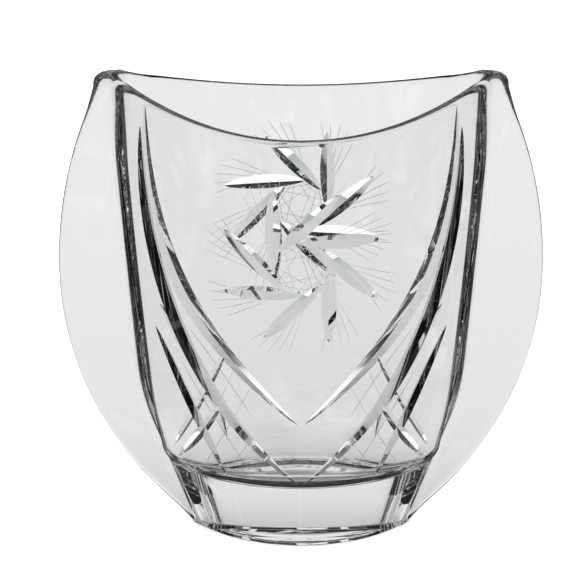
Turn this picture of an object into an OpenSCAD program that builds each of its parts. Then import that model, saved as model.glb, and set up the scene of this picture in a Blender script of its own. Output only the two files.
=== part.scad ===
// Cut crystal vase: a flat, pillow-shaped vessel with a saddle rim, two solid side
// wings, a thick base and wheel-cut decoration on both broad faces.
// Millimetres, +Z up, front face towards -Y, foot resting on z = 0.

/* [Body] */
// height of the two raised rim corners above the table
body_h = 205; // [198:1:212]
// greatest width across the two wings
body_w = 202; // [196:1:208]
// height at which the outline is widest
widest_z = 118; // [114:1:122]
// radius of the side outline above the widest point
side_r_up = 187; // [180:1:194]
// radius of the side outline below the widest point
side_r_low = 148; // [144:1:152]
// depth of the body, front to back, near the rim
body_depth = 76; // [74:1:79]
// how far behind the middle plane each broad face's plan arc is centred, at the table
plan_setback = 48.5; // [47:0.5:51]
// lean of that arc's axis away from the middle plane, in degrees
plan_lean = 4.5; // [4:0.1:5]
// radius of the gentle bow of each broad face from top to bottom
face_bow_r = 2600; // [2400:50:2900]

/* [Wings] */
// thickness of the rounded outer edge of the wings
wing_edge_t = 5; // [4:0.5:6]
// slope of each wing face, thickening towards the body, in degrees
wing_slope = 4; // [3:0.5:6]

/* [Rim] */
// depth of the saddle below the rim corners
rim_dip = 18; // [14:1:22]
// distance from the middle to each rim corner
rim_corner_x = 78; // [76:0.5:79]

/* [Foot] */
// length of the foot along X where it meets the table
foot_w = 97; // [95:1:101]
// depth of the foot along Y where it meets the table
foot_depth = 52; // [50:1:54]
// outward lean of the foot's sides, millimetres per millimetre of height
foot_flare = 0.41; // [0.39:0.01:0.43]
// lean of the foot arc's axis away from the middle plane, in degrees
foot_lean = 9.7; // [9:0.1:10.4]
// radius rolled onto the bottom edge of the foot
foot_edge_r = 5; // [3:0.5:6]
// height of the hollow ground into the underside
recess_h = 1.6; // [1:0.2:2.4]
// width of the flat resting ring left around that hollow
ring_w = 9; // [7:0.5:11]

/* [Cavity] */
// wall thickness of the broad faces at the rim
wall_rim = 4.5; // [4:0.1:5]
// further wall thickness gained from the rim down to the cavity floor
wall_gain = 1.8; // [1.4:0.1:2.2]
// height of the cavity floor above the table
floor_z = 28; // [26:1:30]
// radius between cavity floor and the broad walls
floor_r = 9; // [7:0.5:10]
// half length of the flat part of the cavity floor
floor_half_l = 52; // [48:1:54]
// radius between cavity floor and the pointed ends
floor_end_r = 16; // [14:1:18]

/* [Pinwheel] */
// height of the middle of the pinwheel
pin_z = 133; // [128:1:138]
// number of blades
pin_blades = 8; // [6:1:8]
// length of one blade
blade_len = 34.5; // [30:0.5:38]
// width of one blade at its middle
blade_w = 6.2; // [5:0.1:7]
// depth of one blade at its middle
blade_d = 2.3; // [1.5:0.1:2.8]
// sideways offset of each blade from the middle
blade_off = 11.4; // [10:0.2:13]

/* [Mitre cuts] */
// width of the pointed arch cut
arch_w = 6; // [5:0.1:7]
// height of the point where the two halves of the arch meet
arch_foot_z = 33; // [31:1:37]
// width of the straight side cuts
side_w = 4; // [3:0.1:5]
// width of the short crossing cuts
cross_w = 4; // [3:0.1:5]
// depth of a mitre cut as a share of its width
mitre_ratio = 0.4; // [0.3:0.02:0.42]

/* [Hidden] */
arc_fn = 180;
cut_lift = 1.2;
half_w = body_w / 2;
half_d = body_depth / 2;
edge_half = wing_edge_t / 2;
slope_run = tan(wing_slope);
reach = 400;
// outline arc centres, on the far side of the middle plane
up_cx = half_w - side_r_up;
low_cx = half_w - side_r_low;
// saddle cylinder from its chord
saddle_r = (rim_corner_x * rim_corner_x + rim_dip * rim_dip) / (2 * rim_dip);
saddle_z = body_h - rim_dip + saddle_r;
// foot arc from its length and depth
foot_setback = (foot_w * foot_w - foot_depth * foot_depth) / (4 * foot_depth);
foot_r = foot_setback + foot_depth / 2;
// broad face arc: its largest radius lies above the vase, where the bow and the lean match
bow_z = 190;
bow_top_s = bow_z + face_bow_r * tan(plan_lean);
bow_top_r = plan_setback + half_d + bow_top_s * tan(plan_lean) / 2 + bow_z * tan(plan_lean) / 2 + 0.3;
cuts_per_path = 12;

// radius of the broad face arc at distance s along its leaning axis
function bow_at(s) = bow_top_r - face_bow_r + sqrt(face_bow_r * face_bow_r - pow(s - bow_top_s, 2));
// distance along the leaning axis level with height z at the middle of the face
function along(z) = (z - bow_at(z - 8) * sin(plan_lean)) / cos(plan_lean);
// half depth of the body in the middle of a face, at height z
function broad_half(z) = bow_at(along(z)) * cos(plan_lean) - plan_setback - along(z) * sin(plan_lean);
// half depth of the foot cone in the middle of a face, at height z
function foot_half(z) = foot_depth / 2 + (foot_flare - tan(foot_lean)) * z;
// the foot is drawn in more than the broad face low down
function face_half(z) = min(broad_half(z), foot_half(z));
function setback(z) =
    broad_half(z) < foot_half(z)
        ? plan_setback + z * tan(plan_lean)
        : foot_setback + z * tan(foot_lean);
// cavity floor arc, inside the wall
floor_setback = plan_setback + floor_z * tan(plan_lean) + wall_gain;
floor_arc_r = floor_setback + broad_half(floor_z) - wall_rim - wall_gain;

// point over the broad face at (x, z), raised by h along its own normal
function on_face(x, z, h) =
    let(c = setback(z), r = c + face_half(z), a = asin(x / r))
    [(r + h) * sin(a), c - (r + h) * cos(a), z];
// quadratic curve through two ends and one handle
function curve(a, m, b, t) = (1 - t) * (1 - t) * a + 2 * t * (1 - t) * m + t * t * b;
function unit(v) = v / norm(v);

module slab(z_low, z_high, half_t) {
    translate([0, 0, (z_low + z_high) / 2])
        cube([reach, half_t * 2, z_high - z_low], center = true);
}

// solid behind the front face, turned about a leaning axis behind it
module face_solid(inset) {
    translate([0, plan_setback, 0])
        rotate([-plan_lean, 0, 0])
            rotate_extrude($fn = arc_fn)
                intersection() {
                    translate([bow_top_r - inset - face_bow_r, bow_top_s])
                        circle(r = face_bow_r, $fn = arc_fn * 4);
                    translate([0, -40])
                        square([bow_top_r * 2, body_h + 80]);
                }
}

// cone that draws the body in to the foot, turned about a leaning axis
module foot_cone() {
    low = -40;
    high = body_h + 60;
    translate([0, foot_setback, 0])
        rotate([-foot_lean, 0, 0])
            translate([0, 0, low])
                cylinder(r1 = foot_r + foot_flare * low, r2 = foot_r + foot_flare * high,
                    h = high - low, $fn = arc_fn);
}

// the hollow-bearing middle of the vase
module core() {
    intersection() {
        face_solid(0);
        rotate([0, 0, 180])
            face_solid(0);
        foot_cone();
        rotate([0, 0, 180])
            foot_cone();
    }
}

// disc with a rounded edge that thickens towards its middle, axis along Y
module wing_disc(r) {
    inner = r - 70;
    rotate([90, 0, 0])
        rotate_extrude($fn = arc_fn)
            union() {
                polygon([
                    [0, -edge_half - slope_run * (r - inner)],
                    [inner, -edge_half - slope_run * (r - inner)],
                    [r - edge_half + edge_half * sin(wing_slope), -edge_half * cos(wing_slope)],
                    [r - edge_half + edge_half * sin(wing_slope), edge_half * cos(wing_slope)],
                    [inner, edge_half + slope_run * (r - inner)],
                    [0, edge_half + slope_run * (r - inner)]
                ]);
                translate([r - edge_half, 0])
                    circle(r = edge_half, $fn = 48);
            }
}

// one solid side wing, tapering to its outer edge; side is 1 on the right, -1 on the left
module wing(side) {
    intersection() {
        union() {
            intersection() {
                translate([side * up_cx, 0, widest_z])
                    wing_disc(side_r_up);
                slab(widest_z, widest_z + reach / 2, half_d);
            }
            intersection() {
                translate([side * low_cx, 0, widest_z])
                    wing_disc(side_r_low);
                slab(-1, widest_z, half_d);
            }
        }
        translate([side * (half_w / 2 + 34), 0, body_h / 2])
            cube([half_w, body_depth, body_h + 40], center = true);
    }
}

// arc-sided block behind the front face whose bottom edge is rolled and then opens out
module rolled_block(z_low, axis_y, roll_x, edge_r) {
    tangent_x = roll_x + edge_r * sin(45);
    tangent_z = edge_r * (1 - cos(45));
    open = 60;
    translate([0, axis_y, z_low])
        rotate_extrude($fn = arc_fn)
            union() {
                polygon([
                    [0, 0],
                    [roll_x, 0],
                    [tangent_x, tangent_z],
                    [tangent_x + open, tangent_z + open],
                    [tangent_x + open, body_h + 20],
                    [0, body_h + 20]
                ]);
                translate([roll_x, edge_r])
                    circle(r = edge_r, $fn = 60);
            }
}

module foot_edge() {
    rolled_block(0, foot_setback, foot_r - foot_edge_r * 0.6, foot_edge_r);
}

module outer_form() {
    difference() {
        intersection() {
            union() {
                core();
                wing(1);
                wing(-1);
            }
            foot_edge();
            rotate([0, 0, 180])
                foot_edge();
            slab(0, body_h, half_d + 2);
        }
        translate([0, 0, saddle_z])
            rotate([90, 0, 0])
                cylinder(r = saddle_r, h = body_depth * 2, center = true, $fn = arc_fn);
    }
}

// block that rounds the ends of the cavity floor, seen from the front, opening out upwards
module cavity_ends() {
    tangent_x = floor_half_l + floor_end_r * sin(45);
    tangent_z = floor_z + floor_end_r * (1 - cos(45));
    open = 60;
    rotate([90, 0, 0])
        translate([0, 0, -half_d])
            linear_extrude(height = body_depth)
                union() {
                    polygon([
                        [-floor_half_l, floor_z],
                        [floor_half_l, floor_z],
                        [tangent_x, tangent_z],
                        [tangent_x + open, tangent_z + open],
                        [tangent_x + open, body_h + 20],
                        [-tangent_x - open, body_h + 20],
                        [-tangent_x - open, tangent_z + open],
                        [-tangent_x, tangent_z]
                    ]);
                    for (side = [-1, 1])
                        translate([side * floor_half_l, floor_z + floor_end_r])
                            circle(r = floor_end_r, $fn = 60);
                }
}

// rolled edge between cavity floor and front wall
module floor_edge() {
    rolled_block(floor_z, floor_setback, floor_arc_r - floor_r * 0.9, floor_r);
}

// front half of the cavity, leaning a little more than the face so the wall thickens downwards
module cavity_face() {
    extra = atan(wall_gain / (bow_z - floor_z));
    translate([0, 0, bow_z])
        rotate([extra, 0, 0])
            translate([0, 0, -bow_z])
                face_solid(wall_rim);
}

module cavity() {
    intersection() {
        cavity_face();
        rotate([0, 0, 180])
            cavity_face();
        cavity_ends();
        floor_edge();
        rotate([0, 0, 180])
            floor_edge();
    }
}

// hollow ground into the underside, leaving a flat ring to stand on
module foot_recess() {
    intersection() {
        translate([0, foot_setback, -1])
            cylinder(r = foot_r - ring_w, h = recess_h + 1, $fn = arc_fn);
        translate([0, -foot_setback, -1])
            cylinder(r = foot_r - ring_w, h = recess_h + 1, $fn = arc_fn);
    }
}

// V-shaped wheel cut following the front face from a to b, bent towards the handle m
module v_cut(a, m, b, width, depth, steps) {
    pts = [
        for (i = [0 : steps])
            let(
                t = i / steps,
                p = curve(a, m, b, t),
                q = curve(a, m, b, min(1, t + 0.01)) - curve(a, m, b, max(0, t - 0.01)),
                s = unit([q[1], -q[0]]),
                full = max(0.04, pow(sin(180 * t), 0.6)),
                lift = cut_lift * full,
                grow = (width / 2) * full * (1 + lift / (depth * full)),
                l = p + s * grow,
                r = p - s * grow
            )
            each [
                on_face(l[0], l[1], lift),
                on_face(p[0], p[1], -depth * full),
                on_face(r[0], r[1], lift)
            ]
    ];
    sides = [
        for (i = [0 : steps - 1], k = [0 : 2])
            let(n = (k + 1) % 3, c = 3 * i)
            each [
                [c + 3 + n, c + n, c + k],
                [c + 3 + k, c + 3 + n, c + k]
            ]
    ];
    caps = [[0, 1, 2], [3 * steps + 2, 3 * steps + 1, 3 * steps]];
    polyhedron(points = pts, faces = concat(sides, caps), convexity = 4);
}

// straight cut with pointed ends
module straight_cut(a, b, width, depth) {
    v_cut(a, (a + b) / 2, b, width, depth, 6);
}

// eight blades set round the middle of the face, each offset to one side
module pinwheel() {
    for (i = [0 : pin_blades - 1]) {
        turn = 360 * i / pin_blades;
        dir = [sin(turn), cos(turn)];
        left = [-cos(turn), sin(turn)];
        start = [0, pin_z] + left * blade_off - dir * 1.5;
        straight_cut(start, start + dir * blade_len, blade_w, blade_d);
    }
}

// pointed arch, straight side cuts and short crossing cuts
module arch_cuts() {
    for (side = [-1, 1]) {
        v_cut([side * 65, 186], [side * 68, 92], [side * 1.5, arch_foot_z],
            arch_w, arch_w * mitre_ratio, cuts_per_path);
        straight_cut([side * 60.5, 98], [side * 31, 33], side_w, side_w * mitre_ratio);
        straight_cut([side * 32, 71], [side * 52, 36], cross_w, cross_w * mitre_ratio);
    }
}

module face_cuts() {
    pinwheel();
    arch_cuts();
}

module vase_body() {
    color([0.86, 0.91, 0.93, 0.45])
        difference() {
            outer_form();
            cavity();
            foot_recess();
            face_cuts();
            rotate([0, 0, 180])
                face_cuts();
        }
}

vase_body();
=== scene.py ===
import math

import bmesh
import bpy
import numpy as np
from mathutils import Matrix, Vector
from mathutils.bvhtree import BVHTree


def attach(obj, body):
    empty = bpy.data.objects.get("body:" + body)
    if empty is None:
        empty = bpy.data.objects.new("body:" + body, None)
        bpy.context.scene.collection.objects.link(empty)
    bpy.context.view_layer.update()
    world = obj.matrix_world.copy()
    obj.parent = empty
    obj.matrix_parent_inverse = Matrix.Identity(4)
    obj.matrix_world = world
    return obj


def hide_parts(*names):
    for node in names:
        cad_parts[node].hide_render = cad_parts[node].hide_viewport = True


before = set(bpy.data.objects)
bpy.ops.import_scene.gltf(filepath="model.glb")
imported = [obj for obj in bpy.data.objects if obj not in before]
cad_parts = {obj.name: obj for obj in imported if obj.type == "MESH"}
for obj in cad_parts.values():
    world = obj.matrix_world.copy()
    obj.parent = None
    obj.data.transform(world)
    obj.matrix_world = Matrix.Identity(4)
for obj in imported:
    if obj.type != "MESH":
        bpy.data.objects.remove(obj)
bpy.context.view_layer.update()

MM = 0.001

# ---------------------------------------------------------------- form of the vase, mm
BODY_H = 205.0
HALF_W, HALF_D = 101.0, 38.0

# side outline: one arc above the widest height and one below it
WIDEST_Z = 118.0
R_UP, R_LOW = 187.0, 148.0
SIDE_RELIEF = 0.25

# broad faces: arcs in plan about an axis that leans, with a slight bow in height
BOW_Z, BOW_R = 190.0, 2600.0
PLAN_SETBACK, PLAN_LEAN = 48.5, math.radians(4.5)
CROWN = 0.3
BOW_TOP_S = BOW_Z + BOW_R * math.tan(PLAN_LEAN)
BOW_TOP_R = PLAN_SETBACK + HALF_D + (BOW_TOP_S + BOW_Z) * math.tan(PLAN_LEAN) / 2 + CROWN

# side wings, which swell a little into the rim corners
EDGE_HALF, WING_SLOPE = 2.5, math.tan(math.radians(4.0))
WING_FROM_X = 30.0
SWELL_FROM_Z, SWELL_OVER, SWELL = 165.0, 35.0, 1.6

# rim: a saddle with a rounded lip that grows higher at the corners
RIM_DIP, CORNER_X, LEVEL_X = 18.0, 78.0, 76.5
SADDLE_R = (CORNER_X**2 + RIM_DIP**2) / (2 * RIM_DIP)
LIP_H, LIP_GAIN, LIP_FROM_X, LIP_OVER = 2.6, 3.6, 60.0, 22.0
LIP_POWER = 2 / 2.6

# foot: a cone that draws the body in, a rolled edge and a shallow hollow under it
FOOT_W, FOOT_DEPTH = 97.0, 52.0
FOOT_SETBACK = round((FOOT_W**2 - FOOT_DEPTH**2) / (4 * FOOT_DEPTH), 2)
FOOT_R = FOOT_SETBACK + FOOT_DEPTH / 2
FLARE, FOOT_LEAN = 0.41, math.radians(9.7)
FOOT_EDGE_R = 5.0
HOLLOW_H, HOLLOW_STEP, HOLLOW_SHARE = 1.6, 0.25, 0.70

# the hollow for the water and the flowers
WALL_RIM, WALL_GAIN = 4.5, 1.8
FLOOR_Z, FLOOR_R, FLOOR_END_R, FLOOR_HALF_L = 28.0, 9.0, 16.0, 52.0

# radii with which neighbouring surfaces run into each other
FACE_BLEND, CORE_BLEND, SIDE_BLEND, EDGE_BLEND = 2.5, 1.5, 2.0, 1.0
WING_EDGE_BLEND, WING_EDGE_GAIN = 2.6, 3.0
WING_JOIN_BLEND, WING_JOIN_GAIN = 5.0, 6.0
CAVITY_BLEND, CAVITY_END_BLEND = 5.0, 1.5


def smooth_max(a, b, k):
    h = np.clip(0.5 + 0.5 * (a - b) / k, 0, 1)
    return b * (1 - h) + a * h + k * h * (1 - h)


def smooth_min(a, b, k):
    return -smooth_max(-a, -b, k)


def eased(value, start, over):
    """0 up to start, 1 from start + over, and a smooth step in between."""
    t = np.clip((value - start) / over, 0, 1)
    return t * t * (3 - 2 * t)


def leaning(y, z, setback, lean):
    """Place across and along an axis set behind the front face that leans away from it."""
    y = y - setback
    return y * math.cos(lean) - z * math.sin(lean), y * math.sin(lean) + z * math.cos(lean)


def broad(x, y, z, inset):
    """Signed distance to the front broad face, moved inwards by inset."""
    y, s = leaning(y, z, PLAN_SETBACK, PLAN_LEAN)
    return np.hypot(np.hypot(x, y) - (BOW_TOP_R - inset - BOW_R), s - BOW_TOP_S) - BOW_R


def cone(x, y, z):
    """Signed distance to the front of the cone that draws the body in to the foot."""
    y, s = leaning(y, z, FOOT_SETBACK, FOOT_LEAN)
    return (np.hypot(x, y) - (FOOT_R + FLARE * s)) / math.sqrt(1 + FLARE**2)


def front(x, y, z):
    return smooth_max(broad(x, y, z, 0.0), cone(x, y, z), FACE_BLEND)


def rolled(dz, r):
    """How far a wall stands in at a height dz above an edge of radius r."""
    return r - np.sqrt(np.clip(r**2 - np.clip(r - dz, 0, None) ** 2, 0, None))


def outer(x, y, z):
    """Negative inside the outer form, positive outside, in mm."""
    ax, ay = np.abs(x), np.abs(y)
    core = smooth_max(front(x, -ay, z), front(x, ay, z), CORE_BLEND)
    up = z > WIDEST_Z
    r_side = np.where(up, R_UP, R_LOW)
    inset = r_side - np.hypot(ax - (HALF_W - r_side), z - WIDEST_Z)
    side = np.where(up, -inset, -inset - SIDE_RELIEF * (WIDEST_Z - z))
    core = smooth_max(core, side, SIDE_BLEND)
    swell = eased(z, SWELL_FROM_Z, SWELL_OVER)
    half = EDGE_HALF + SWELL * swell + WING_SLOPE * inset
    wing = (ay - half) / math.sqrt(1 + WING_SLOPE**2)
    wing = smooth_max(wing, -inset, WING_EDGE_BLEND + WING_EDGE_GAIN * swell)
    join = WING_JOIN_BLEND + WING_JOIN_GAIN * swell
    form = smooth_min(core, np.maximum(wing, WING_FROM_X - ax), join)
    edge = np.hypot(x, ay + FOOT_SETBACK) - FOOT_R - 0.4 * FOOT_EDGE_R
    edge = edge + rolled(z, FOOT_EDGE_R) - np.clip(z - 0.3 * FOOT_EDGE_R, 0, None)
    return smooth_max(form, edge, EDGE_BLEND)


def cavity(x, y, z):
    """Negative in the hollow: two arcs meeting in rounded ends, rolled into the floor."""
    ax, ay = np.abs(x), np.abs(y)
    extra = math.atan(WALL_GAIN / (BOW_Z - FLOOR_Z))
    sides = []
    for near in (-ay, ay):
        y2 = near * math.cos(extra) + (z - BOW_Z) * math.sin(extra)
        z2 = (z - BOW_Z) * math.cos(extra) - near * math.sin(extra) + BOW_Z
        sides.append(broad(x, y2, z2, WALL_RIM))
    walls = smooth_max(sides[0], sides[1], CAVITY_BLEND) + rolled(z - FLOOR_Z, FLOOR_R)
    end = ax - FLOOR_HALF_L - FLOOR_END_R + rolled(z - FLOOR_Z, FLOOR_END_R)
    end = end - np.clip(z - FLOOR_Z - 0.6 * FLOOR_END_R, 0, None)
    return smooth_max(walls, end, CAVITY_END_BLEND)


def rim_z(x):
    """Height of the rim, which is level outside LEVEL_X."""
    reach = np.clip(np.abs(x), 0, LEVEL_X)
    return BODY_H - RIM_DIP + SADDLE_R - np.sqrt(SADDLE_R**2 - reach**2)


def lip_h(x):
    return LIP_H + LIP_GAIN * eased(np.abs(x), LIP_FROM_X, LIP_OVER)


# ---------------------------------------------------------------- rings of the surface
RING_N = 384
EVEN = np.linspace(0, 2 * np.pi, RING_N, endpoint=False)
# closer together towards the wing edges and the pointed ends of the hollow
ANGLES = EVEN - 0.38 * np.sin(2 * EVEN)
# half axes, mm, of the ellipses along which the search for each surface goes out
OUTER_REACH, CAVITY_REACH = (100, 40), (78, 32)
FAR, HALVINGS, PASSES = 1.8, 30, 10


def on_surface(func, z, reach):
    """Search outwards from the axis in every direction for where func changes sign."""
    cx, sy = np.cos(ANGLES) * reach[0], np.sin(ANGLES) * reach[1]
    low, high = np.zeros(RING_N), np.full(RING_N, FAR)
    for _ in range(HALVINGS):
        mid = (low + high) / 2
        inside = func(mid * cx, mid * sy, z) < 0
        low, high = np.where(inside, mid, low), np.where(inside, high, mid)
    mid = (low + high) / 2
    return mid * cx, mid * sy


def level_ring(func, height, reach):
    z = np.full(RING_N, float(height))
    x, y = on_surface(func, z, reach)
    return np.stack([x, y, z], 1)


def ring(func, height_at, reach):
    """Ring whose height depends on x, found by going back and forth between the two."""
    x = np.cos(ANGLES) * reach[0]
    for _ in range(PASSES):
        x = 0.5 * (x + on_surface(func, height_at(x), reach)[0])
    z = height_at(x)
    x, y = on_surface(func, z, reach)
    return np.stack([x, y, z], 1)


def scaled(base, share):
    result = base.copy()
    result[:, :2] *= share
    return result


def underside_rings():
    base = level_ring(outer, 0, OUTER_REACH)
    rings = []
    for share in (0.03, 0.15, 0.3, 0.45, 0.58, 0.66, 0.70, 0.715, 0.73, 0.8, 0.9):
        r = scaled(base, share)
        t = min(share / HOLLOW_SHARE, 1.0)
        r[:, 2] = HOLLOW_H * (1 - t**2.4) + (HOLLOW_STEP if share <= HOLLOW_SHARE else 0.0)
        rings.append(r)
    return rings


def wall_rings(func, start, shares, reach):
    """Rings from the level start at share 0 to the foot of the lip at share 1."""
    return [
        ring(func, lambda x: start + t * (rim_z(x) - lip_h(x) - start), reach) for t in shares
    ]


def lip_rings(wall, inner):
    """Over the rim from the last ring of the outer wall to the first of the inner one."""
    rings = []
    for a in np.linspace(0, np.pi, 17)[1:-1]:
        c, s = math.cos(a), math.sin(a)
        w = (1 - math.copysign(abs(c) ** LIP_POWER, c)) / 2
        r = wall * (1 - w) + inner * w
        r[:, 2] += lip_h(r[:, 0]) * abs(s) ** LIP_POWER
        rings.append(r)
    return rings


def floor_rings():
    drops = list(np.linspace(FLOOR_END_R, FLOOR_R, 8)[1:])
    drops += [FLOOR_R * (1 - math.sin(a)) for a in np.linspace(0, np.pi / 2, 18)[1:]]
    rings = [level_ring(cavity, FLOOR_Z + drop + 1e-4, CAVITY_REACH) for drop in drops]
    return rings + [scaled(rings[-1], share) for share in (0.92, 0.8, 0.6, 0.4, 0.2, 0.05)]


def vase_rings():
    """All rings in order: under the foot, up outside, over the rim and down inside."""
    rings = underside_rings()
    for a in np.linspace(0, np.pi / 2, 9):
        rings.append(level_ring(outer, FOOT_EDGE_R * (1 - np.cos(a)), OUTER_REACH))
    rings += wall_rings(outer, FOOT_EDGE_R, np.linspace(0, 1, 96)[1:], OUTER_REACH)
    inner = wall_rings(cavity, FLOOR_Z + FLOOR_END_R, np.linspace(1, 0, 72), CAVITY_REACH)
    return rings + lip_rings(rings[-1], inner[0]) + inner + floor_rings()


def closed_object(name, verts, faces):
    """Object in metres from points in mm, as triangles that all face outwards."""
    mesh = bpy.data.meshes.new(name)
    mesh.from_pydata([tuple(c * MM for c in v) for v in verts], [], faces)
    mesh.update()
    bm = bmesh.new()
    bm.from_mesh(mesh)
    bmesh.ops.recalc_face_normals(bm, faces=bm.faces)
    bmesh.ops.triangulate(bm, faces=bm.faces)
    bm.to_mesh(mesh)
    bm.free()
    obj = bpy.data.objects.new(name, mesh)
    bpy.context.scene.collection.objects.link(obj)
    return obj


def blank():
    """The vase before it is cut."""
    rings = vase_rings()
    n = RING_N
    faces = [tuple(range(n - 1, -1, -1))]
    for i in range(len(rings) - 1):
        a, b = i * n, (i + 1) * n
        faces += [(a + j, a + (j + 1) % n, b + (j + 1) % n, b + j) for j in range(n)]
    last = (len(rings) - 1) * n
    faces.append(tuple(range(last, last + n)))
    return closed_object("vase", np.concatenate(rings), faces)


# ---------------------------------------------------------------- cutters
SIDES = (1, -1)
LIFT, POWER = 0.9, 0.6


def on_face(x, z, lift, side):
    """Point on the front (side 1) or back (-1) broad face, raised by lift along its normal."""
    y, d = -30.0, 0.05
    for _ in range(5):
        value = front(x, y, z)
        y -= value * d / (front(x, y + d, z) - value)
    here = front(x, y, z)
    n = [front(x + d, y, z) - here, front(x, y + d, z) - here, front(x, y, z + d) - here]
    size = math.sqrt(n[0] ** 2 + n[1] ** 2 + n[2] ** 2)
    px, py, pz = (c + lift * g / size for c, g in zip((x, y, z), n))
    return (px * side, py * side, pz)


def curve(a, m, b, t):
    return [(1 - t) ** 2 * a[i] + 2 * t * (1 - t) * m[i] + t * t * b[i] for i in (0, 1)]


def canoe(a, m, b, width, depth, steps, side, power=POWER, lift=LIFT):
    """Closed V-shaped cutter that follows the face from a to b, bent towards the handle m."""
    verts, faces = [], []
    for i in range(steps + 1):
        t = i / steps
        p = curve(a, m, b, t)
        before, after = curve(a, m, b, max(0, t - 0.01)), curve(a, m, b, min(1, t + 0.01))
        tx, tz = after[0] - before[0], after[1] - before[1]
        length = math.hypot(tx, tz)
        sx, sz = tz / length, -tx / length
        full = max(0.02, math.sin(math.pi * t) ** power)
        up = lift * full
        half = width / 2 * full * (1 + up / (depth * full))
        verts += [
            on_face(p[0] + sx * half, p[1] + sz * half, up, side),
            on_face(p[0], p[1], -depth * full, side),
            on_face(p[0] - sx * half, p[1] - sz * half, up, side),
        ]
    for i in range(steps):
        c = 3 * i
        for k in range(3):
            n = (k + 1) % 3
            faces.append((c + 3 + k, c + 3 + n, c + n, c + k))
    faces.append((0, 1, 2))
    faces.append((3 * steps + 2, 3 * steps + 1, 3 * steps))
    return verts, faces


def straight(a, b, width, depth, side, steps, power=POWER, lift=LIFT):
    m = ((a[0] + b[0]) / 2, (a[1] + b[1]) / 2)
    return canoe(a, m, b, width, depth, steps, side, power, lift)


def cutter_object(name, canoes):
    verts, faces = [], []
    for canoe_verts, canoe_faces in canoes:
        k = len(verts)
        verts += canoe_verts
        faces += [tuple(i + k for i in face) for face in canoe_faces]
    return closed_object(name, verts, faces)


# ---------------------------------------------------------------- polished cuts, (x, z) in mm
PIN_Z, BLADES = 133.0, 8
BLADE_L, BLADE_W, BLADE_D, BLADE_OFF, BLADE_BACK = 34.5, 6.2, 2.3, 11.4, 1.5
ARCH_TOP, ARCH_HANDLE, ARCH_TIP, ARCH_W, ARCH_D = (65, 186), (68, 92), (1.5, 33), 6.0, 2.4
SIDE_TOP, SIDE_TIP = (60.5, 98), (31, 33)
CROSS_TOP, CROSS_TIP = (32, 71), (52, 36)
SHORT_W, SHORT_D = 4.0, 1.6


def mirrored_to(e, point):
    return (e * point[0], point[1])


def blade(i, side):
    turn = 2 * math.pi * i / BLADES
    d, left = (math.sin(turn), math.cos(turn)), (-math.cos(turn), math.sin(turn))
    a = (
        left[0] * BLADE_OFF - d[0] * BLADE_BACK,
        PIN_Z + left[1] * BLADE_OFF - d[1] * BLADE_BACK,
    )
    b = (a[0] + d[0] * BLADE_L, a[1] + d[1] * BLADE_L)
    return straight(a, b, BLADE_W, BLADE_D, side, 36)


def arch(e, side):
    top, handle, tip = (mirrored_to(e, p) for p in (ARCH_TOP, ARCH_HANDLE, ARCH_TIP))
    return canoe(top, handle, tip, ARCH_W, ARCH_D, 110, side)


def four_short(top, tip, steps):
    return [
        straight(mirrored_to(e, top), mirrored_to(e, tip), SHORT_W, SHORT_D, s, steps)
        for s in SIDES
        for e in SIDES
    ]


# cutters in one group never touch each other
polished = [[blade(i, s) for i in range(first, BLADES, 2) for s in SIDES] for first in (0, 1)]
polished += [[arch(e, s) for s in SIDES] for e in SIDES]
polished += [four_short(SIDE_TOP, SIDE_TIP, 36), four_short(CROSS_TOP, CROSS_TIP, 30)]

# ---------------------------------------------------------------- fine engraved lines
LINE_W, LINE_D, LINE_LIFT, LINE_POWER = 0.26, 0.12, 0.12, 0.35
BLADE_TURN = 360 / BLADES
STAR_R, STAR_TURN = 12.6, 10
CROSS_LINES = (((49, 84), (21, 37)), ((27, 66), (41, 36)), ((20, 55), (32, 35)))


def hair(a, b, side):
    return straight(a, b, LINE_W, LINE_D, side, 10, LINE_POWER, LINE_LIFT)


def polar(radius, degrees):
    """Place on the face at a distance and a clockwise angle from the pinwheel's middle."""
    a = math.radians(degrees)
    return (radius * math.sin(a), PIN_Z + radius * math.cos(a))


def fan(i, side):
    """Five rays between two blades, the middle one reaching furthest."""
    rays = []
    for k in range(5):
        a = BLADE_TURN * i + 4 + 6.2 * k
        start, end = polar(19.0 + 2.2 * k, a - 7), polar(41.5 - 1.2 * abs(k - 2), a + 4)
        rays.append(hair(start, end, side))
    return rays


def star_line(i, step):
    """Chord of the star in the pinwheel's middle, on both faces."""
    a, b = (polar(STAR_R, BLADE_TURN * k + STAR_TURN) for k in (i, i + step))
    return [hair(a, b, s) for s in SIDES]


def cross_line(a, b):
    return [hair(mirrored_to(e, a), mirrored_to(e, b), s) for s in SIDES for e in SIDES]


engraved = [[ray for s in SIDES for i in range(BLADES) for ray in fan(i, s)]]
for step in (3, 2):
    engraved += [star_line(i, step) for first in (0, 1) for i in range(first, BLADES, 2)]
engraved += [cross_line(a, b) for a, b in CROSS_LINES]


# ---------------------------------------------------------------- node helpers
def math_node(tree, op, a, b):
    node = tree.nodes.new("ShaderNodeMath")
    node.operation = op
    for slot, value in enumerate((a, b)):
        if isinstance(value, (int, float)):
            node.inputs[slot].default_value = value
        else:
            tree.links.new(value, node.inputs[slot])
    return node.outputs[0]


def span(tree, value, start, end, low, high, kind="SMOOTHSTEP"):
    """Map value from start..end to low..high."""
    node = tree.nodes.new("ShaderNodeMapRange")
    node.interpolation_type = kind
    node.inputs["From Min"].default_value = start
    node.inputs["From Max"].default_value = end
    node.inputs["To Min"].default_value = low
    node.inputs["To Max"].default_value = high
    tree.links.new(value, node.inputs["Value"])
    return node.outputs["Result"]


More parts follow.
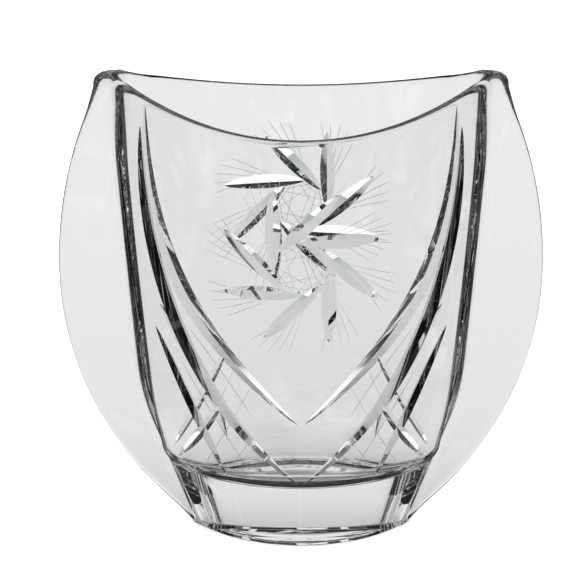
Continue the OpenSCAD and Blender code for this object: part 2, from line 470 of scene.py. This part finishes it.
def noise_at(tree, vector, scale, distortion=0.0):
    node = tree.nodes.new("ShaderNodeTexNoise")
    node.inputs["Scale"].default_value = scale
    node.inputs["Detail"].default_value = 1.0
    node.inputs["Distortion"].default_value = distortion
    tree.links.new(vector, node.inputs["Vector"])
    return node.outputs["Fac"]


# ---------------------------------------------------------------- glass
LEAD_CRYSTAL_IOR = 1.545
ABSORBED, ABSORPTION = (0.92, 0.94, 0.94, 1.0), 1.2


def crystal_material(name, rough_low, rough_high):
    mat = bpy.data.materials.new(name)
    mat.use_nodes = True
    tree = mat.node_tree
    bsdf = tree.nodes["Principled BSDF"]
    bsdf.inputs["Base Color"].default_value = (1.0, 1.0, 1.0, 1.0)
    bsdf.inputs["IOR"].default_value = LEAD_CRYSTAL_IOR
    bsdf.inputs["Transmission Weight"].default_value = 1.0
    coord = tree.nodes.new("ShaderNodeTexCoord")
    noise = noise_at(tree, coord.outputs["Object"], 55.0)
    rough = span(tree, noise, 0.0, 1.0, rough_low, rough_high, "LINEAR")
    tree.links.new(rough, bsdf.inputs["Roughness"])
    volume = tree.nodes.new("ShaderNodeVolumeAbsorption")
    volume.inputs["Color"].default_value = ABSORBED
    volume.inputs["Density"].default_value = ABSORPTION
    tree.links.new(volume.outputs["Volume"], tree.nodes["Material Output"].inputs["Volume"])
    return mat


crystal = crystal_material("crystal", 0.0, 0.012)
matte = crystal_material("engraved_line", 0.45, 0.6)
# the same glass under another name, which tells the polished facets from the uncut surface
cut_facet = crystal.copy()
cut_facet.name = "crystal_cut"


# ---------------------------------------------------------------- carving
def carve(target, groups, mat, label):
    """Take each group of cutters out of the target and give the new faces the material."""
    for n, group in enumerate(groups):
        tool = cutter_object(f"{label}_{n}", group)
        tool.data.materials.append(mat)
        mod = target.modifiers.new("cut", "BOOLEAN")
        mod.operation = "DIFFERENCE"
        mod.solver = "MANIFOLD"
        mod.material_mode = "TRANSFER"
        mod.object = tool
        depsgraph = bpy.context.evaluated_depsgraph_get()
        result = bpy.data.meshes.new_from_object(target.evaluated_get(depsgraph))
        target.modifiers.clear()
        target.data = result
        bpy.data.objects.remove(tool)


# ---------------------------------------------------------------- normals
# a facet's normal is read this share of the way from a corner to the middle of its face,
# and used only where it points nearly the same way as the face
INWARDS, NEARLY_ALIKE = 0.07, 0.8


def read(items, name, width, kind):
    """One attribute of every item as an array with width numbers to a row."""
    values = np.empty(len(items) * width, dtype=kind)
    items.foreach_get(name, values)
    return values.reshape(-1, width) if width > 1 else values


def unit(vectors):
    return vectors / np.maximum(np.linalg.norm(vectors, axis=1), 1e-12)[:, None]


class Shading:
    """Triangles with a normal at each corner, to be read at any place near them."""

    def __init__(self, co, tris, normals):
        self.co, self.tris, self.normals = co, tris, normals
        self.tree = BVHTree.FromPolygons(co.tolist(), tris.tolist(), epsilon=0.0)

    def at(self, point):
        hit, _, index, _ = self.tree.find_nearest(Vector(point))
        a, b, c = self.tris[index]
        v0, v1 = self.co[b] - self.co[a], self.co[c] - self.co[a]
        v2 = np.array(hit) - self.co[a]
        d00, d01, d11 = v0 @ v0, v0 @ v1, v1 @ v1
        d20, d21 = v2 @ v0, v2 @ v1
        den = d00 * d11 - d01 * d01
        wb = (d11 * d20 - d01 * d21) / den if den else 0.0
        wc = (d00 * d21 - d01 * d20) / den if den else 0.0
        n = (1 - wb - wc) * self.normals[a] + wb * self.normals[b] + wc * self.normals[c]
        return n / max(np.linalg.norm(n), 1e-12)


def facet_shading(groups):
    """The two long facets of every cut as strips, with normals that turn smoothly along them."""
    co, normals, tris = [], [], []
    for group in groups:
        for verts, _ in group:
            sections = (np.array(verts) * MM).reshape(-1, 3, 3)
            for edge in (0, 2):
                rim, keel = sections[:, edge], sections[:, 1]
                along = np.gradient((rim + keel) / 2, axis=0)
                n = unit(np.cross(along, keel - rim))
                n[0], n[-1] = n[1], n[-2]
                first = len(co)
                for i in range(len(rim)):
                    co += [rim[i], keel[i]]
                    normals += [n[i], n[i]]
                for i in range(len(rim) - 1):
                    a = first + 2 * i
                    tris += [(a, a + 1, a + 3), (a, a + 3, a + 2)]
    return Shading(np.array(co), np.array(tris), np.array(normals))


def uncut_shading(mesh):
    """Normals of the uncut form: from the form itself on its walls, from the faces elsewhere."""
    co = read(mesh.vertices, "co", 3, np.float32).astype(float)
    tris = read(mesh.polygons, "vertices", 3, np.int32)
    facing = np.cross(co[tris[:, 1]] - co[tris[:, 0]], co[tris[:, 2]] - co[tris[:, 0]])
    normals = np.zeros((len(co), 3))
    for k in range(3):
        np.add.at(normals, tris[:, k], facing)
    x, y, z = (co / MM).T
    for form, sign in ((outer, 1.0), (cavity, -1.0)):
        on_it = (np.abs(form(x, y, z)) < 0.02) & (z > FOOT_EDGE_R + 0.5)
        px, py, pz, d = x[on_it], y[on_it], z[on_it], 0.02
        slope = [
            form(px + d, py, pz) - form(px - d, py, pz),
            form(px, py + d, pz) - form(px, py - d, pz),
            form(px, py, pz + d) - form(px, py, pz - d),
        ]
        normals[on_it] = sign * np.stack(slope, 1)
    return Shading(co, tris, unit(normals))


def restore_normals(obj, uncut_mesh, facets):
    """Give uncut faces the smooth normals of the uncut form and cut faces those of their facet."""
    uncut = uncut_shading(uncut_mesh)
    kept = {row.tobytes(): k for k, row in enumerate(read(uncut_mesh.vertices, "co", 3, np.float32))}
    mesh = obj.data
    co = read(mesh.vertices, "co", 3, np.float32)
    face_mat = read(mesh.polygons, "material_index", 1, np.int32)
    face_n = read(mesh.polygons, "normal", 3, np.float32).astype(float)
    start = read(mesh.polygons, "loop_start", 1, np.int32)
    total = read(mesh.polygons, "loop_total", 1, np.int32)
    loop_vert = read(mesh.loops, "vertex_index", 1, np.int32)
    loop_face = np.repeat(np.arange(len(total)), total)
    names = [m.name for m in mesh.materials]

    uncut_loop = face_mat[loop_face] == names.index(crystal.name)
    vertex_n = np.zeros((len(co), 3))
    for v in np.unique(loop_vert[uncut_loop]):
        k = kept.get(co[v].tobytes())
        vertex_n[v] = uncut.at(co[v]) if k is None else uncut.normals[k]
    loop_n = np.where(uncut_loop[:, None], vertex_n[loop_vert], face_n[loop_face])

    for f in np.nonzero(face_mat == names.index(cut_facet.name))[0]:
        corners = co[loop_vert[start[f] : start[f] + total[f]]]
        centre = corners.mean(axis=0)
        for loop, corner in enumerate(corners, start[f]):
            n = facets.at((1 - INWARDS) * corner + INWARDS * centre)
            facing = n @ face_n[f]
            if abs(facing) > NEARLY_ALIKE:
                loop_n[loop] = n * math.copysign(1.0, facing)
    mesh.polygons.foreach_set("use_smooth", np.ones(len(total), dtype=bool))
    mesh.normals_split_custom_set(loop_n.tolist())
    mesh.update()


# ---------------------------------------------------------------- vase
vase = blank()
for mat in (crystal, matte):
    vase.data.materials.append(mat)
uncut_mesh = vase.data.copy()
carve(vase, polished, cut_facet, "wheel")
carve(vase, engraved, matte, "needle")
restore_normals(vase, uncut_mesh, facet_shading(polished))
bpy.data.meshes.remove(uncut_mesh)

vase.name = "vase_crystal"
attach(vase, "root")
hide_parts("vase_body")

# ---------------------------------------------------------------- floor, light and camera
FLOOR_SIZE, FLOOR_GAP = 8.0, 0.0004
PALE, DARK = (0.88, 0.88, 0.88, 1), (0.03, 0.031, 0.034, 1)
CAMERA_AT, CAMERA_DOWN = (0.0, -1.100, 0.560), 22.37
CAMERA_LENS, CAMERA_SHIFT = 174.57, -0.0145


def unmirrored(tree, path):
    """1 for rays that nothing has mirrored on their way, else 0."""
    return math_node(tree, "LESS_THAN", path.outputs["Glossy Depth"], 0.5)


def streaks(tree, vector, scale, low, high, top):
    """Soft-edged light patches for mirrored rays to pick up."""
    return span(tree, noise_at(tree, vector, scale, 1.2), low, high, 0.0, top)


def floor_material():
    """Pale to the eye and through the glass, dark with soft patches to mirrored rays."""
    mat = bpy.data.materials.new("pale_floor")
    mat.use_nodes = True
    tree = mat.node_tree
    bsdf = tree.nodes["Principled BSDF"]
    bsdf.inputs["Roughness"].default_value = 0.9
    bsdf.inputs["Specular IOR Level"].default_value = 0.0
    bsdf.inputs["Emission Color"].default_value = (1, 1, 1, 1)
    path = tree.nodes.new("ShaderNodeLightPath")
    seen = unmirrored(tree, path)
    tone = tree.nodes.new("ShaderNodeMix")
    tone.data_type = "RGBA"
    tone.inputs["A"].default_value = DARK
    tone.inputs["B"].default_value = PALE
    tree.links.new(seen, tone.inputs["Factor"])
    tree.links.new(tone.outputs["Result"], bsdf.inputs["Base Color"])
    # a glow that keeps the vase's shadow off the part of the floor that the camera sees directly
    glow = math_node(tree, "MULTIPLY", path.outputs["Is Camera Ray"], 0.5)
    glow = math_node(tree, "MULTIPLY", math_node(tree, "ADD", glow, 0.04), seen)
    place = tree.nodes.new("ShaderNodeTexCoord")
    patches = streaks(tree, place.outputs["Object"], 7.0, 0.60, 0.68, 0.6)
    mirror_glow = math_node(tree, "MULTIPLY", patches, math_node(tree, "SUBTRACT", 1.0, seen))
    tree.links.new(math_node(tree, "ADD", glow, mirror_glow), bsdf.inputs["Emission Strength"])
    return mat


def studio_world():
    """Even white to the camera and the floor, darker in part for rays that the glass has turned."""
    world = bpy.data.worlds.new("studio")
    world.use_nodes = True
    tree = world.node_tree
    path = tree.nodes.new("ShaderNodeLightPath")
    coord = tree.nodes.new("ShaderNodeTexCoord")
    split = tree.nodes.new("ShaderNodeSeparateXYZ")
    tree.links.new(coord.outputs["Generated"], split.inputs[0])
    height = split.outputs["Z"]
    # mirrored rays: soft light overhead, a dark room with soft patches below it
    overhead = span(tree, height, 0.45, 0.75, 0.03, 0.9)
    patches = streaks(tree, coord.outputs["Generated"], 4.0, 0.58, 0.66, 0.9)
    mirrored = math_node(tree, "MAXIMUM", overhead, patches)
    # refracted rays: bright low down all round the table, a dark room above
    low_band = span(tree, height, 0.03, 0.15, 1.25, 0.06)
    # camera rays and the light that reaches the floor: even white
    even = math_node(tree, "MAXIMUM", path.outputs["Is Camera Ray"], path.outputs["Diffuse Depth"])
    sky = math_node(tree, "MINIMUM", math_node(tree, "MAXIMUM", low_band, even), 1.25)
    sky = math_node(tree, "MULTIPLY", unmirrored(tree, path), sky)
    background = tree.nodes["Background"]
    background.inputs["Color"].default_value = (1.0, 1.0, 1.0, 1)
    tree.links.new(math_node(tree, "MAXIMUM", sky, mirrored), background.inputs["Strength"])
    return world


bpy.ops.mesh.primitive_plane_add(size=FLOOR_SIZE, location=(0, 0, -FLOOR_GAP))
floor = bpy.context.object
floor.name = "floor"
floor.data.materials.append(floor_material())

scene = bpy.context.scene
scene.world = studio_world()

cam_data = bpy.data.cameras.new("camera")
cam_data.sensor_width = 36.0
cam_data.lens = CAMERA_LENS
cam_data.shift_x = CAMERA_SHIFT
camera = bpy.data.objects.new("camera", cam_data)
camera.location = CAMERA_AT
camera.rotation_euler = (math.radians(90 - CAMERA_DOWN), 0.0, 0.0)
scene.collection.objects.link(camera)
scene.camera = camera

scene.view_settings.view_transform = "Standard"
scene.cycles.max_bounces = 32
scene.cycles.transmission_bounces = 32
scene.cycles.glossy_bounces = 24
scene.cycles.transparent_max_bounces = 8
